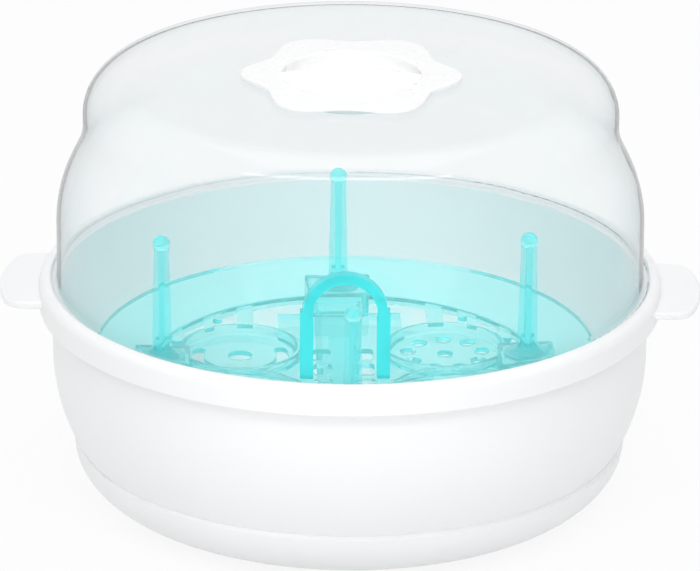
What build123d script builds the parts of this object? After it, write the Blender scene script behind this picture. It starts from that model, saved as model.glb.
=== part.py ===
from build123d import *
from math import acos, cos, hypot, pi, radians, sin, sqrt
import os

os.makedirs("parts", exist_ok=True)

# All sizes in millimetres. Origin at the centre of the base's underside, +X through a lug, +Y to the back.

# Base bowl
rim_r = 122.0            # outside of the rim skirt
rim_top = 88.8           # top of the rounded rim
bead_w = 4.6             # rim between its outside and the step that the lid drops into
ledge_drop = 2.4         # step from the rim down to the ledge
wall = 2.4               # bowl wall
skirt_h = 11.9
skirt_w = 2.4
skirt_out = 5.1          # how far the skirt stands off the body
belly_r = 69.6           # radius of the belly curve
foot_in = 8.1            # foot, inside the body
foot_lip = 1.4           # rounding of the foot up to the crease
corner_w = 28.0          # oval bottom corner
corner_h = 21.0
lug_out = 15.6           # lugs, outside the rim
lug_w = 55.0
lug_t = 3.0
lug_drop = 5.0           # lug top, under the rim top
lug_bulge = 5.5          # how far the lug's outer edge bows out
lug_corner = 9.0

# Lid
lid_gap = 0.3            # round the flange, inside the step
lid_wall = 1.6
flange_t = 1.8
flange_w = 2.1
lid_h = 84.8             # above the ledge
dish = 2.3               # fall of the lid's top towards the handle
dish_r = 48.0            # flat seat under the handle
dish_bend = 60.0
drum_draft = 0.3
shoulder_in = 10.7       # upper drum, inside the lower one
low_share, up_share = 0.437, 0.690      # heights of the shoulder's bends, as shares of the lid's
bend_shares = (0.609, 0.299, 0.183)     # radii of the shoulder's two bends and of the top edge
vent_r = 0.75
vent_at = (-51.9, -32.5)

# Lid handle
plate_t = 1.7
petal_mean = 41.5        # plate outline: mean radius, stretch and petal height
petal_stretch = 2.0
petal_h = 3.5
petals = 6
well_r = 27.0
well_depth = 7.6
well_wall = 1.6
well_gap = 0.3           # between the well cup and the hole in the lid
grip_t = 3.2
grip_rise = 2.0          # crown of the grip above the plate
clip_w = 9.0
clip_out = 0.9
clips = 4

# Rack tray
rack_turn = 4.1          # how the rack happens to stand in the bowl
rack_at = (-1.8, -1.0)
tray_t = 2.0
rack_in = 23.6           # rack edge, inside the rim
slope_w = 19.2           # sloping border
slope_h = 9.3
deck_z = 48.7            # deck level, at the foot of the slope
lip_w = 1.7              # flat ring inside the slope
lip_h = 3.4
floor_drop = 4.5         # seats and hub, under the deck
seat_drop = 0.5          # seat rims, under the deck
seat_share = (0.518, 0.303)
seat_r_share = 0.2855
hole_r = 3.25
ring_holes = 9
ring_in = 7.6            # ring of holes, inside the seat
drain_r = 4.85
slot_in = 5.6
slot_w = 5.0
slot_from, slot_to = -60.0, 18.0
hub_share = 0.632
hub_hole = (7.6, 11.6)
hub_hole_x = 8.4
hub_rows = (-23.6, -8.0, 8.0, 23.6)
web_w = 22.0

# Bars across the windows of the deck: offset from the seat centre, width, length inside the lip
tabs = (
    (-2.5, 6.5, 21.0, False),
    (12.4, 3.8, 14.0, False),
    (8.8, 3.8, 6.4, True),
    (25.0, 4.6, 11.1, True),
)

# Legs and pegs
peg_in_long = 1.8        # front and back pegs, inside the deck edge
peg_in_side = 7.1        # left and right pegs
plinth_h = 4.8           # above the deck
plinth_l = 22.0
plinth_w_in, plinth_w_out = 24.0, 27.0
leg_top = (20.0, 16.0)
leg_foot = (16.0, 10.0)
leg_in = 5.0             # the foot stands this much nearer the middle
ball_rise = 52.3         # above the deck
ball_r = 3.4
fin_t = 2.3
fin_top_w = 5.9
fin_base_w = 7.9
flare_r = 9.0
flare_h = 8.0
flare_neck = 3.0

# Lift handle
arch_rise = 39.3         # above the deck
arch_r = 16.9
arch_in = 12.9
arch_t = 4.6
leg_out, leg_inner = 17.8, 12.6
leg_drop = 15.5          # shoulders of the legs, under the top

# Placing
ledge_z = rim_top - ledge_drop
skirt_z = rim_top - skirt_h
body_r = rim_r - skirt_out
foot_r = body_r - foot_in
bead_in = rim_r - bead_w
flange_r = bead_in - lid_gap
lid_root_r = flange_r - flange_w
lid_top = ledge_z + lid_h
low_bend, up_bend, top_bend = (share * lid_h for share in bend_shares)
plate_z = lid_top - dish
plate_top = plate_z + plate_t
deck_r = rim_r - rack_in - slope_w
lip_r = deck_r - lip_w
floor_z = deck_z - floor_drop
seat_rim_z = deck_z - seat_drop
plinth_top = deck_z + plinth_h
seat_at = (seat_share[0] * deck_r, seat_share[1] * deck_r)
seat_r = seat_r_share * deck_r
peg_r_long = deck_r - peg_in_long
peg_r_side = deck_r - peg_in_side
arch_top = deck_z + arch_rise
ball_z = deck_z + ball_rise


def polar(radius, angle):
    return radius * cos(radians(angle)), radius * sin(radians(angle))


def section_arc(centre, radius, start, end):
    """Arc in the half section between two angles in degrees."""
    spots = [polar(radius, a) for a in (start, (start + end) / 2, end)]
    ThreePointArc(*[(centre[0] + x, centre[1] + y) for x, y in spots])


def turned(draw):
    """Solid of revolution about Z from a half section drawn as (radius, height)."""
    with BuildPart() as part:
        with BuildSketch(Plane.XZ):
            with BuildLine():
                draw()
            make_face()
        revolve(axis=Axis.Z)
    return part.part


def inset(points, thickness):
    """Path parallel to an open one, on its right-hand side going along it."""
    sides = []
    for (x0, y0), (x1, y1) in zip(points, points[1:]):
        length = hypot(x1 - x0, y1 - y0)
        ux, uy = (x1 - x0) / length, (y1 - y0) / length
        sides.append((x0 + uy * thickness, y0 - ux * thickness, ux, uy))
    corners = []
    for (ax, ay, au, av), (bx, by, bu, bv) in zip(sides, sides[1:]):
        step = ((bx - ax) * bv - (by - ay) * bu) / (au * bv - av * bu)
        corners.append((ax + step * au, ay + step * av))
    return corners


def rings(solid, radius, height):
    """Circular edges of one radius at one height."""
    found = solid.edges().filter_by(GeomType.CIRCLE)
    return [e for e in found if abs(e.radius - radius) < 0.01 and abs(e.arc_center.Z - height) < 0.01]


# Base

def bowl_section():
    centre_r = body_r - belly_r
    crease_r, crease_z = foot_r - foot_lip, corner_h + foot_lip
    tuck = acos((crease_r - centre_r) / belly_r)
    inner_tuck = acos((crease_r - wall - centre_r) / (belly_r - wall))
    shoulder_z = crease_z + belly_r * sin(tuck)
    belly = (centre_r, shoulder_z)
    floor_r = foot_r - corner_w
    Line((0, 0), (floor_r, 0))
    EllipticalCenterArc((floor_r, corner_h), corner_w, corner_h, -90, arc_size=90)
    section_arc((crease_r, corner_h), foot_lip, 0, 90)
    section_arc(belly, belly_r, -tuck * 180 / pi, 0)
    Polyline(
        (body_r, shoulder_z),
        (body_r, ledge_z - wall),
        (rim_r - skirt_w, ledge_z - wall),
        (rim_r - skirt_w, skirt_z),
        (rim_r, skirt_z),
        (rim_r, rim_top),
        (bead_in, rim_top),
        (bead_in, ledge_z),
        (body_r - wall, ledge_z),
        (body_r - wall, shoulder_z),
    )
    section_arc(belly, belly_r - wall, 0, -inner_tuck * 180 / pi)
    Line(
        (crease_r - wall, shoulder_z - (belly_r - wall) * sin(inner_tuck)),
        (foot_r - wall, corner_h),
    )
    EllipticalCenterArc((floor_r, corner_h), corner_w - wall, corner_h - wall, -90, arc_size=90)
    Polyline((floor_r, wall), (0, wall), (0, 0))


def lug():
    root = body_r - 10
    tip = rim_r + lug_out
    shoulder = tip - lug_bulge
    with BuildPart() as part:
        with BuildSketch(Plane.XY.offset(rim_top - lug_drop - lug_t)) as plan:
            with BuildLine():
                Polyline(
                    (shoulder, -lug_w / 2),
                    (root, -lug_w / 2),
                    (root, lug_w / 2),
                    (shoulder, lug_w / 2),
                )
                ThreePointArc((shoulder, lug_w / 2), (tip, 0), (shoulder, -lug_w / 2))
            make_face()
            fillet(plan.vertices().sort_by(Axis.X)[-2:], lug_corner)
            Circle(rim_r - skirt_w / 2, mode=Mode.SUBTRACT)
        extrude(amount=lug_t)
        fillet(part.faces().sort_by(Axis.Z)[-1].edges() + part.faces().sort_by(Axis.Z)[0].edges(), 0.9)
    return part.part


def base_bowl():
    bowl = turned(bowl_section)
    bowl = fillet(rings(bowl, rim_r, rim_top), bead_w - 1)
    bowl = fillet(rings(bowl, bead_in, rim_top), 0.6)
    bowl = fillet(rings(bowl, rim_r, skirt_z) + rings(bowl, rim_r - skirt_w, skirt_z), 0.8)
    bowl = fillet(rings(bowl, body_r - wall, ledge_z), 0.8)
    ear = lug()
    return bowl + ear + mirror(ear, about=Plane.YZ)


# Lid

def lid_section():
    low_r = lid_root_r - drum_draft
    outer = [
        (0, plate_z),
        (dish_r, plate_z),
        (low_r - shoulder_in, lid_top),
        (low_r - shoulder_in, ledge_z + up_share * lid_h),
        (low_r, ledge_z + low_share * lid_h),
        (lid_root_r, ledge_z),
    ]
    inner = inset(outer, lid_wall)
    root_r = lid_root_r - drum_draft * flange_t / (low_share * lid_h)
    path = outer[:-1] + [
        (root_r, ledge_z + flange_t),
        (flange_r, ledge_z + flange_t),
        (flange_r, ledge_z),
        (lid_root_r - lid_wall, ledge_z),
    ]
    path += inner[::-1] + [(0, plate_z - lid_wall)]
    bends = [dish_bend, top_bend, up_bend, low_bend, 1.0, 0.7, 0.7, 0.0]
    bends += [low_bend - lid_wall, up_bend + lid_wall, top_bend - lid_wall, dish_bend + lid_wall]
    FilletPolyline(*path, radius=bends)
    Line((0, plate_z - lid_wall), (0, plate_z))


def lid_dome():
    dome = turned(lid_section)
    opening = well_r + well_wall + well_gap
    dome -= Pos(0, 0, lid_top) * Cylinder(opening, 6 * lid_wall)
    dome -= Pos(*vent_at, lid_top) * Cylinder(vent_r, 6 * lid_wall)
    return dome


def petal_outline():
    """Closed six-petal outline of the handle plate."""
    spots = []
    for step in range(12 * petals):
        angle = step * 360 / (12 * petals)
        radius = petal_mean - petal_stretch * cos(radians(2 * angle))
        radius += petal_h * cos(radians(petals * angle))
        spots.append(polar(radius, angle))
    Spline(*spots, periodic=True)


def well_section():
    out = well_r + well_wall
    floor = plate_top - well_depth
    FilletPolyline(
        (0, floor),
        (well_r, floor),
        (well_r, plate_top),
        (out, plate_top),
        (out, floor - well_wall),
        (0, floor - well_wall),
        radius=[5.0, 0.0, 0.0, 5.0 + well_wall],
    )
    Line((0, floor - well_wall), (0, floor))


def grip():
    """Upright fin across the well, crowned along its top."""
    low = plate_top - well_depth - well_wall / 2
    reach = well_r + well_wall / 2
    with BuildPart() as part:
        with BuildSketch(Plane.XZ):
            with BuildLine():
                Polyline((-reach, plate_top - 0.4), (-reach, low), (reach, low), (reach, plate_top - 0.4))
                ThreePointArc(
                    (reach, plate_top - 0.4),
                    (0, plate_top + grip_rise),
                    (-reach, plate_top - 0.4),
                )
            make_face()
        extrude(amount=grip_t / 2, both=True)
        fillet(part.edges().filter_by(GeomType.CIRCLE), 1.2)
    return part.part


def lid_handle():
    with BuildPart() as part:
        with BuildSketch(Plane.XY.offset(plate_z)):
            with BuildLine():
                petal_outline()
            make_face()
        extrude(amount=plate_t)
        fillet(part.faces().sort_by(Axis.Z)[-1].edges(), 0.9)
    handle = part.part - Pos(0, 0, plate_z) * Cylinder(well_r, 4 * plate_t)
    handle += turned(well_section)
    handle = fillet(rings(handle, well_r, plate_top), 0.8)
    keep = Pos(0, 0, plate_z) * Cylinder(well_r + well_wall / 2, 6 * well_depth)
    handle += grip() & keep
    under = plate_z - lid_wall - 0.1
    for step in range(clips):
        clip = Pos(well_r + well_wall, 0, under - 0.9) * Box(2 * clip_out, clip_w, 1.8)
        clip = chamfer(clip.edges().filter_by(Axis.Y).group_by(Axis.Z)[0].sort_by(Axis.X)[-1:], clip_out)
        handle += Rot(0, 0, 45 + step * 360 / clips) * clip
    return handle


# Rack

def deck_section():
    rise = slope_h / slope_w
    drop = tray_t * hypot(1, rise)
    edge_r, edge_z = deck_r + slope_w, deck_z + slope_h
    inner_r = lip_r + tray_t
    Polyline(
        (lip_r, deck_z - lip_h),
        (inner_r, deck_z - lip_h),
        (inner_r, deck_z + (inner_r - deck_r) * rise - drop),
        (edge_r, edge_z - drop),
        (edge_r, edge_z),
        (deck_r, deck_z),
        (lip_r, deck_z),
        close=True,
    )


def seat_section():
    out = seat_r + tray_t
    low = floor_z - tray_t
    FilletPolyline(
        (0, low),
        (out, low),
        (out, seat_rim_z),
        (seat_r, seat_rim_z),
        (seat_r, floor_z),
        (0, floor_z),
        radius=[1.6, 0.7, 0.7, 1.2],
    )
    Line((0, floor_z), (0, low))


def drill(radius):
    return Cylinder(radius, 6 * tray_t)


def holed_seat():
    """Seat with a ring of drain holes round a centre one."""
    seat = turned(seat_section)
    cuts = [Pos(0, 0, floor_z) * drill(hole_r)]
    for step in range(ring_holes):
        x, y = polar(seat_r - ring_in, step * 360 / ring_holes + 10)
        cuts.append(Pos(x, y, floor_z) * drill(hole_r))
    return seat - cuts


def slotted_seat():
    """Seat with a round drain between two curved slots."""
    seat = turned(seat_section)
    with BuildPart() as cut:
        with BuildSketch(Plane.XY.offset(floor_z - 3 * tray_t)):
            SlotArc(CenterArc((0, 0), seat_r - slot_in, slot_from, slot_to - slot_from), slot_w)
        extrude(amount=6 * tray_t)
    slot = cut.part
    return seat - [Pos(0, 0, floor_z) * drill(drain_r), slot, mirror(slot, about=Plane.YZ)]


def at_seats(even, odd):
    """The four seats: one kind on each diagonal."""
    x, y = seat_at
    spots = [(x, y, even), (-x, -y, Rot(0, 0, 180) * even), (-x, y, odd), (x, -y, Rot(0, 0, 180) * odd)]
    return [Pos(sx, sy, 0) * solid for sx, sy, solid in spots]


def seat_discs(radius):
    disc = Pos(0, 0, floor_z) * Cylinder(radius, 20 * tray_t)
    return at_seats(disc, disc)


def slab(width, length, top, corner=0.5):
    """Flat plate centred on the origin with its top at one height."""
    with BuildPart() as part:
        with BuildSketch(Plane.XY.offset(top - tray_t)):
            RectangleRounded(width, length, corner)
        extrude(amount=tray_t)
    return part.part


def hub():
    """Sunk floor down the middle, with the cross webs and the rows of drain holes."""
    reach = peg_r_long - plinth_l / 2 + tray_t
    side_reach = peg_r_side - plinth_l / 2 + tray_t
    plate = slab(hub_share * deck_r, 2 * reach, floor_z) + slab(2 * side_reach, web_w, floor_z)
    hole = Pos(0, 0, floor_z - 3 * tray_t) * extrude(RectangleRounded(*hub_hole, 2.4), amount=6 * tray_t)
    cuts = [Pos(side * hub_hole_x, y, 0) * hole for side in (-1, 1) for y in hub_rows]
    return plate - cuts - seat_discs(seat_r + tray_t / 2)


def window_bars():
    """Bars and teeth that break up the windows between the seats and the deck, in each quarter."""
    keep = Pos(0, 0, deck_z) * Cylinder(lip_r + tray_t / 2, 20 * tray_t)
    bars = []
    for offset, width, length, rounded in tabs:
        x = seat_at[0] + offset
        lip_y = sqrt(lip_r**2 - x**2)
        low, high = lip_y - length, lip_y + 2 * tray_t
        bar = slab(width, high - low, seat_rim_z, width / 2 - 0.01 if rounded else 0.4)
        for side in (-1, 1):
            for end in (-1, 1):
                bars.append((Pos(side * x, end * (low + high) / 2, 0) * bar) & keep)
    return [bar - seat_discs(seat_r + tray_t / 2) for bar in bars]


def tapered(top_in, top_out, length, height, low):
    """Upright block with a trapezium plan, narrow end towards the middle."""
    with BuildPart() as part:
        with BuildSketch(Plane.XY.offset(low)) as plan:
            with BuildLine():
                Polyline(
                    (-length / 2, -top_in / 2),
                    (length / 2, -top_out / 2),
                    (length / 2, top_out / 2),
                    (-length / 2, top_in / 2),
                    close=True,
                )
            make_face()
            fillet(plan.vertices(), 1.5)
        extrude(amount=height)
    return part.part


def plinth_block(shrink=0.0):
    """Platform under a peg; shrunk, the space inside it."""
    low = floor_z - tray_t + shrink
    width_in, width_out = plinth_w_in - 2 * shrink, plinth_w_out - 2 * shrink
    return tapered(width_in, width_out, plinth_l - 2 * shrink, plinth_top - low - shrink, low)


def leg_block(shrink=0.0):
    """Leg narrowing down to the bowl floor; shrunk, the space inside it."""
    with BuildPart() as part:
        with BuildSketch(Plane.XY.offset(floor_z)):
            RectangleRounded(leg_top[1] - 2 * shrink, leg_top[0] - 2 * shrink, 2.2 - shrink / 2)
        with BuildSketch(Plane.XY.offset(wall)):
            with Locations((-leg_in, 0)):
                RectangleRounded(leg_foot[1] - 2 * shrink, leg_foot[0] - 2 * shrink, 2.2 - shrink / 2)
        loft()
    return part.part


def rack_leg():
    """Hollow platform with its hollow leg, centred under a peg."""
    block = plinth_block()
    block = fillet(block.faces().sort_by(Axis.Z)[-1].edges(), 0.8)
    return block + leg_block() - plinth_block(tray_t) - leg_block(tray_t)


def peg_places():
    """Where the four legs and pegs stand."""
    spots = [("right", 0, peg_r_side), ("back", 90, peg_r_long), ("left", 180, peg_r_side), ("front", 270, peg_r_long)]
    return [(name, Rot(0, 0, turn) * Pos(reach, 0, 0)) for name, turn, reach in spots]


def rack_tray():
    tray = turned(deck_section) + hub()
    for bar in window_bars():
        tray += bar
    tray += at_seats(holed_seat(), slotted_seat())
    return tray - [place * plinth_block() for name, place in peg_places()]


def flare_section():
    """Spreading foot of a peg: concave curve from the stem out to the plinth."""
    low = plinth_top
    Polyline((flare_neck, low + flare_h), (0, low + flare_h), (0, low), (flare_r, low), (flare_r, low + 0.8))
    middle = (
        flare_neck + (flare_r - flare_neck) * 0.24,
        low + 0.8 + (flare_h - 0.8) * 0.24,
    )
    ThreePointArc((flare_r, low + 0.8), middle, (flare_neck, low + flare_h))


def fin():
    """One tapering fin of the cross-shaped stem."""
    top = ball_z - ball_r * 0.6
    with BuildPart() as part:
        with BuildSketch(Plane.XZ):
            with BuildLine():
                Polyline(
                    (-fin_base_w / 2, plinth_top),
                    (fin_base_w / 2, plinth_top),
                    (fin_top_w / 2, top),
                    (-fin_top_w / 2, top),
                    close=True,
                )
            make_face()
        extrude(amount=fin_t / 2, both=True)
    return part.part


def bottle_peg():
    """Cross-finned peg with a ball end and a flared foot."""
    stem = fin()
    peg = stem + Rot(0, 0, 90) * stem
    peg += turned(flare_section)
    peg += Pos(0, 0, ball_z) * Sphere(ball_r)
    return peg


def lift_handle():
    """Arch standing on the hub: slim round crown on stouter legs."""
    centre = arch_top - arch_r
    shoulder = arch_top - leg_drop
    with BuildPart() as part:
        with BuildSketch(Plane.XZ):
            with Locations((0, centre)):
                Circle(arch_r)
            with Locations((0, (centre + floor_z) / 2)):
                Rectangle(2 * arch_r, centre - floor_z)
            for side in (-1, 1):
                with Locations((side * (leg_out + leg_inner) / 2, (shoulder + floor_z) / 2)):
                    Rectangle(leg_out - leg_inner, shoulder - floor_z)
            with Locations((0, centre)):
                Circle(arch_in, mode=Mode.SUBTRACT)
            with Locations((0, (centre + floor_z) / 2)):
                Rectangle(2 * leg_inner, centre - floor_z + 0.01, mode=Mode.SUBTRACT)
        extrude(amount=arch_t / 2, both=True)
    return part.part


def export(solid, name):
    solid.label = name
    export_step(solid, f"parts/{name}.step")


in_bowl = Pos(*rack_at, 0) * Rot(0, 0, rack_turn)
export(base_bowl(), "base_bowl")
export(in_bowl * rack_tray(), "rack_tray")
export(in_bowl * lift_handle(), "lift_handle")
for place_name, spot in peg_places():
    export(in_bowl * spot * rack_leg(), f"rack_leg_{place_name}")
    export(in_bowl * spot * bottle_peg(), f"bottle_peg_{place_name}")
export(lid_dome(), "lid_dome")
export(lid_handle(), "lid_handle")
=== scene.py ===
from math import cos, radians, sin

import bpy
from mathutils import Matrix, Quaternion, Vector

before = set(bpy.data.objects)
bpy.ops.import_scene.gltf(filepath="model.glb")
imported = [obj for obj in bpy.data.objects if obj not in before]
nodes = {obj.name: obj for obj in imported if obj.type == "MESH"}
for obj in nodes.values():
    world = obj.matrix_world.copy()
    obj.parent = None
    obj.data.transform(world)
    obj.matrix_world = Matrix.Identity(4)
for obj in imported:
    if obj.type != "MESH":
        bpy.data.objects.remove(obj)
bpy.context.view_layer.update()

# Camera: distance, height angle, turn and roll, aimed at a point on the object's axis
AIM = Vector((0.0, 0.0, 0.0825))
DISTANCE = 1.952
ELEVATION = radians(21.1)
TURN = radians(1.8)
ROLL = radians(0.34)
IMAGE_W = 700
FOCAL_PX = 4966.0
SENSOR = 36.0

# Surface of the white plastics: noise scales per metre, and depths in metres
WHITE_INDEX = 1.49
MOTTLE, POLISH_PATCHES, PEBBLE = 18.0, 60.0, 900.0
MOTTLE_SHADE = 0.985
PEBBLE_DEPTH = 0.00002
SKIN_GLOW, SKIN_DEPTH = 0.12, 0.004

# Surface of the clear plastics: the same, and how sharply haze and mirror gather at an edge
CLEAR_INDEX = 1.45
RIPPLE, SMEARS = 14.0, 35.0
RIPPLE_DEPTH = 0.00002
EDGE_POWER = 5.0

# The lid's walls are thin and even, so they hardly bend what is seen through them
LID_INDEX = 1.02
LID_MIRROR, LID_EDGE_MIRROR = 0.03, 0.9
LID_POLISH = (0.04, 0.09)

# Tint of the rack's plastic, which grows with the depth looked through
AQUA = (0.0, 0.985, 0.99)

# Floor and studio: FLOOR_WHITE is the share of the floor that shows as plain white to the eye
FLOOR_HALF = 6.0
FLOOR_DROP = 0.0002
FLOOR_COLOUR = (0.94, 0.94, 0.94)
FLOOR_WHITE = 0.88
STUDIO_COLOUR = (0.99, 0.995, 1.0)
STUDIO_LIGHT = 0.68
WHITE = (1.0, 1.0, 1.0)


def make_camera():
    back = Vector((sin(TURN) * cos(ELEVATION), -cos(TURN) * cos(ELEVATION), sin(ELEVATION)))
    data = bpy.data.cameras.new("camera")
    data.sensor_width = SENSOR
    data.lens = FOCAL_PX * SENSOR / IMAGE_W
    data.clip_start = 0.05
    data.clip_end = 30.0
    camera = bpy.data.objects.new("camera", data)
    camera.location = AIM + back * DISTANCE
    camera.rotation_mode = "QUATERNION"
    camera.rotation_quaternion = (-back).to_track_quat("-Z", "Y") @ Quaternion((0, 0, 1), ROLL)
    bpy.context.scene.collection.objects.link(camera)
    bpy.context.scene.camera = camera


class Nodes:
    """Small helper that builds the node tree of a material or of the world."""

    def __init__(self, owner, output="ShaderNodeOutputMaterial"):
        owner.use_nodes = True
        self.tree = owner.node_tree
        self.tree.nodes.clear()
        self.output = self.add(output)

    def add(self, kind, **settings):
        node = self.tree.nodes.new(kind)
        for key, value in settings.items():
            setattr(node, key, value)
        return node

    def link(self, start, end):
        self.tree.links.new(start, end)

    def noise(self, scale, detail):
        node = self.add("ShaderNodeTexNoise")
        node.inputs["Scale"].default_value = scale
        node.inputs["Detail"].default_value = detail
        coords = self.add("ShaderNodeTexCoord")
        self.link(coords.outputs["Object"], node.inputs["Vector"])
        return node.outputs["Fac"]

    def spread(self, value, low, high):
        node = self.add("ShaderNodeMapRange")
        node.inputs["To Min"].default_value = low
        node.inputs["To Max"].default_value = high
        self.link(value, node.inputs["Value"])
        return node.outputs["Result"]

    def bump(self, value, distance):
        node = self.add("ShaderNodeBump")
        node.inputs["Distance"].default_value = distance
        self.link(value, node.inputs["Height"])
        return node.outputs["Normal"]

    def math(self, operation, *terms, clamp=False):
        node = self.add("ShaderNodeMath", operation=operation, use_clamp=clamp)
        for socket, term in zip(node.inputs, terms):
            if isinstance(term, float):
                socket.default_value = term
            else:
                self.link(term, socket)
        return node.outputs["Value"]

    def mixed(self, factor, first, second):
        node = self.add("ShaderNodeMixShader")
        self.link(factor, node.inputs["Fac"])
        self.link(first, node.inputs[1])
        self.link(second, node.inputs[2])
        return node.outputs["Shader"]

    def seen_by_eye(self):
        """1 for rays that look at the backdrop, straight, through clear parts or in gloss."""
        path = self.add("ShaderNodeLightPath").outputs
        looked = self.math("MAXIMUM", path["Is Camera Ray"], path["Is Transmission Ray"])
        return self.math("MAXIMUM", looked, path["Is Glossy Ray"])

    def finish(self, shader):
        self.link(shader, self.output.inputs["Surface"])


def white_plastic(name, colour, polish):
    """Opaque satin moulded plastic with a faint pebble and uneven polish."""
    material = bpy.data.materials.new(name)
    n = Nodes(material)
    shader = n.add("ShaderNodeBsdfPrincipled")
    shader.inputs["IOR"].default_value = WHITE_INDEX
    shader.inputs["Subsurface Weight"].default_value = SKIN_GLOW
    shader.inputs["Subsurface Radius"].default_value = (SKIN_DEPTH,) * 3
    shader.inputs["Subsurface Scale"].default_value = 1.0
    mottle = n.add("ShaderNodeMix", data_type="RGBA")
    mottle.inputs["A"].default_value = (*colour, 1.0)
    mottle.inputs["B"].default_value = (*[c * MOTTLE_SHADE for c in colour], 1.0)
    n.link(n.noise(MOTTLE, detail=3.0), mottle.inputs["Factor"])
    n.link(mottle.outputs["Result"], shader.inputs["Base Color"])
    n.link(n.spread(n.noise(POLISH_PATCHES, detail=4.0), *polish), shader.inputs["Roughness"])
    n.link(n.bump(n.noise(PEBBLE, detail=2.0), PEBBLE_DEPTH), shader.inputs["Normal"])
    n.finish(shader.outputs["BSDF"])
    return material


def even_wall(n, normal, looked, through, edge, seen):
    """A thin wall that shows what is behind it in place, under a mirror gloss."""
    even = n.add("ShaderNodeBsdfRefraction")
    even.inputs["IOR"].default_value = LID_INDEX
    even.inputs["Roughness"].default_value = 0.0
    gloss = n.add("ShaderNodeBsdfGlossy")
    n.link(n.spread(n.noise(SMEARS, detail=3.0), *LID_POLISH), gloss.inputs["Roughness"])
    n.link(normal, gloss.inputs["Normal"])
    mirror = n.math("MULTIPLY_ADD", edge, LID_EDGE_MIRROR, LID_MIRROR)
    mirror = n.math("MULTIPLY", mirror, seen)
    clear = n.mixed(looked, through, even.outputs["BSDF"])
    return n.mixed(mirror, clear, gloss.outputs["BSDF"])


def solid_glass(n, normal, looked, through):
    """A solid clear piece that bends what is seen through it."""
    glass = n.add("ShaderNodeBsdfGlass")
    glass.inputs["IOR"].default_value = CLEAR_INDEX
    glass.inputs["Roughness"].default_value = 0.0
    n.link(normal, glass.inputs["Normal"])
    return n.mixed(looked, through, glass.outputs["BSDF"])


def clear_plastic(name, haze, body, edge_body, absorb, density, thin=False):
    """Clear moulded plastic that light passes straight through.

    haze: colour of its cloudiness, whose share is body where it faces the eye and edge_body
    more at a glancing edge; absorb and density: tint that grows with depth; thin: an even wall.
    """
    material = bpy.data.materials.new(name)
    n = Nodes(material)
    normal = n.bump(n.noise(RIPPLE, detail=1.0), RIPPLE_DEPTH)
    through = n.add("ShaderNodeBsdfTransparent").outputs["BSDF"]
    cloud = n.add("ShaderNodeBsdfDiffuse")
    cloud.inputs["Color"].default_value = (*haze, 1.0)
    facing = n.add("ShaderNodeLayerWeight")
    facing.inputs["Blend"].default_value = 0.5
    n.link(normal, facing.inputs["Normal"])
    path = n.add("ShaderNodeLightPath").outputs
    lit = n.math("MAXIMUM", path["Is Shadow Ray"], path["Is Diffuse Ray"])
    looked = n.math("SUBTRACT", 1.0, lit)
    seen = n.math("SUBTRACT", 1.0, path["Is Shadow Ray"])
    edge = n.math("POWER", facing.outputs["Facing"], EDGE_POWER)
    cloudy = n.math("MULTIPLY_ADD", edge, edge_body, body, clamp=True)
    cloudy = n.math("MULTIPLY", cloudy, seen)
    if thin:
        clear = even_wall(n, normal, looked, through, edge, seen)
    else:
        clear = solid_glass(n, normal, looked, through)
    n.finish(n.mixed(cloudy, clear, cloud.outputs["BSDF"]))
    volume = n.add("ShaderNodeVolumeAbsorption")
    volume.inputs["Color"].default_value = (*absorb, 1.0)
    volume.inputs["Density"].default_value = density
    n.link(volume.outputs["Volume"], n.output.inputs["Volume"])
    return material


def dress(material, *names):
    for name, node in nodes.items():
        if name.startswith(names):
            node.data.materials.clear()
            node.data.materials.append(material)


def dress_pieces():
    white_shell = white_plastic("white_shell", colour=(0.945, 0.95, 0.955), polish=(0.32, 0.42))
    white_grip = white_plastic("white_grip", colour=(0.96, 0.96, 0.96), polish=(0.22, 0.32))
    clear_lid = clear_plastic(
        "clear_lid", haze=(0.95, 0.97, 0.98), body=0.015, edge_body=0.12,
        absorb=(0.4, 0.65, 0.75), density=10.0, thin=True,
    )
    clear_aqua = clear_plastic(
        "clear_aqua", haze=(0.5, 0.98, 0.98), body=0.2, edge_body=0.2, absorb=AQUA, density=125.0
    )
    deep_aqua = clear_plastic(
        "deep_aqua", haze=(0.0, 0.96, 0.98), body=0.35, edge_body=0.1, absorb=AQUA, density=700.0
    )
    peg_aqua = clear_plastic(
        "peg_aqua", haze=(0.25, 0.97, 0.98), body=0.2, edge_body=0.2, absorb=AQUA, density=150.0
    )
    dress(white_shell, "base_bowl")
    dress(white_grip, "lid_handle")
    dress(clear_lid, "lid_dome")
    dress(clear_aqua, "rack_tray", "rack_leg")
    dress(deep_aqua, "lift_handle")
    dress(peg_aqua, "bottle_peg")


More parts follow.
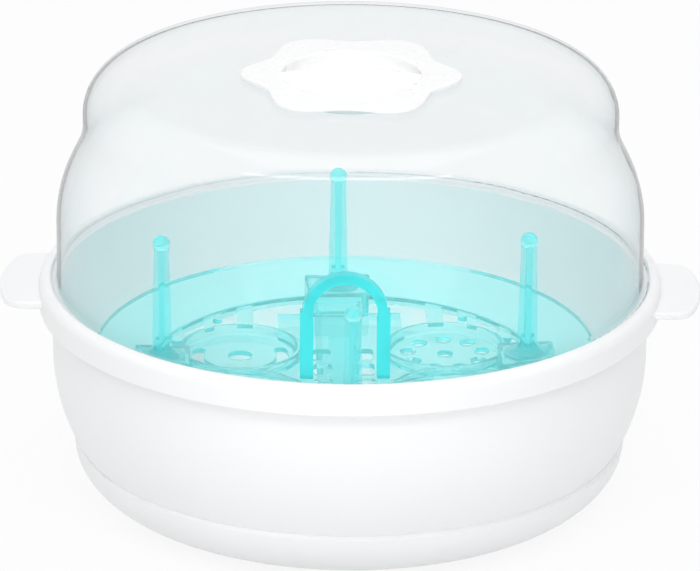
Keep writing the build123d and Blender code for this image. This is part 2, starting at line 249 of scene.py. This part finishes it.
def make_floor():
    """Plain pale floor that keeps the shadow, white to the eye."""
    mesh = bpy.data.meshes.new("floor")
    corners = [(-1, -1), (1, -1), (1, 1), (-1, 1)]
    mesh.from_pydata([(x * FLOOR_HALF, y * FLOOR_HALF, 0) for x, y in corners], [], [(0, 1, 2, 3)])
    floor = bpy.data.objects.new("floor", mesh)
    floor.location = (0, 0, -FLOOR_DROP)
    bpy.context.scene.collection.objects.link(floor)
    material = bpy.data.materials.new("floor")
    n = Nodes(material)
    shade = n.add("ShaderNodeBsdfDiffuse")
    shade.inputs["Color"].default_value = (*FLOOR_COLOUR, 1.0)
    glow = n.add("ShaderNodeEmission")
    glow.inputs["Color"].default_value = (*WHITE, 1.0)
    white = n.math("MULTIPLY", n.seen_by_eye(), FLOOR_WHITE)
    n.finish(n.mixed(white, shade.outputs["BSDF"], glow.outputs["Emission"]))
    mesh.materials.append(material)


def make_world():
    """Even studio surround, which is white to the eye and a softer light on the object."""
    world = bpy.data.worlds.new("studio")
    bpy.context.scene.world = world
    n = Nodes(world, "ShaderNodeOutputWorld")
    light = n.add("ShaderNodeBackground")
    light.inputs["Color"].default_value = (*STUDIO_COLOUR, 1.0)
    light.inputs["Strength"].default_value = STUDIO_LIGHT
    white = n.add("ShaderNodeBackground")
    white.inputs["Color"].default_value = (*WHITE, 1.0)
    n.finish(n.mixed(n.seen_by_eye(), light.outputs["Background"], white.outputs["Background"]))


def aim_light(data, location, target):
    light = bpy.data.objects.new(data.name, data)
    light.location = location
    direction = Vector(target) - Vector(location)
    light.rotation_mode = "QUATERNION"
    light.rotation_quaternion = direction.to_track_quat("-Z", "Y")
    bpy.context.scene.collection.objects.link(light)
    return light


def softbox(name, location, target, size, power):
    data = bpy.data.lights.new(name, "AREA")
    data.shape = "RECTANGLE"
    data.size, data.size_y = size
    data.energy = power
    aim_light(data, location, target)


def soft_beam(name, location, target, width, height, power):
    """Soft oval beam into the bowl; width is its angle, and height its share of the width."""
    data = bpy.data.lights.new(name, "SPOT")
    data.spot_size = radians(width)
    data.spot_blend = 0.5
    data.shadow_soft_size = 0.12
    data.energy = power
    beam = aim_light(data, location, target)
    beam.scale = (1.0, height, 1.0)
    beam.visible_camera = False
    beam.visible_glossy = False
    beam.visible_transmission = False


def make_lamps():
    softbox(
        "top", location=(0.0, 0.1, 1.4), target=(0.0, 0.0, 0.1), size=(1.2, 1.2), power=3.2
    )
    softbox(
        "front", location=(0.0, -1.15, 1.35), target=(0.0, 0.0, 0.12), size=(2.6, 0.22), power=6.2
    )
    soft_beam(
        "inside", location=(0.0, -1.35, 0.61), target=(0.0, 0.05, 0.078),
        width=12.0, height=0.45, power=42.0,
    )


dress_pieces()
make_floor()
make_world()
make_lamps()
make_camera()
bpy.context.scene.view_settings.view_transform = "Standard"
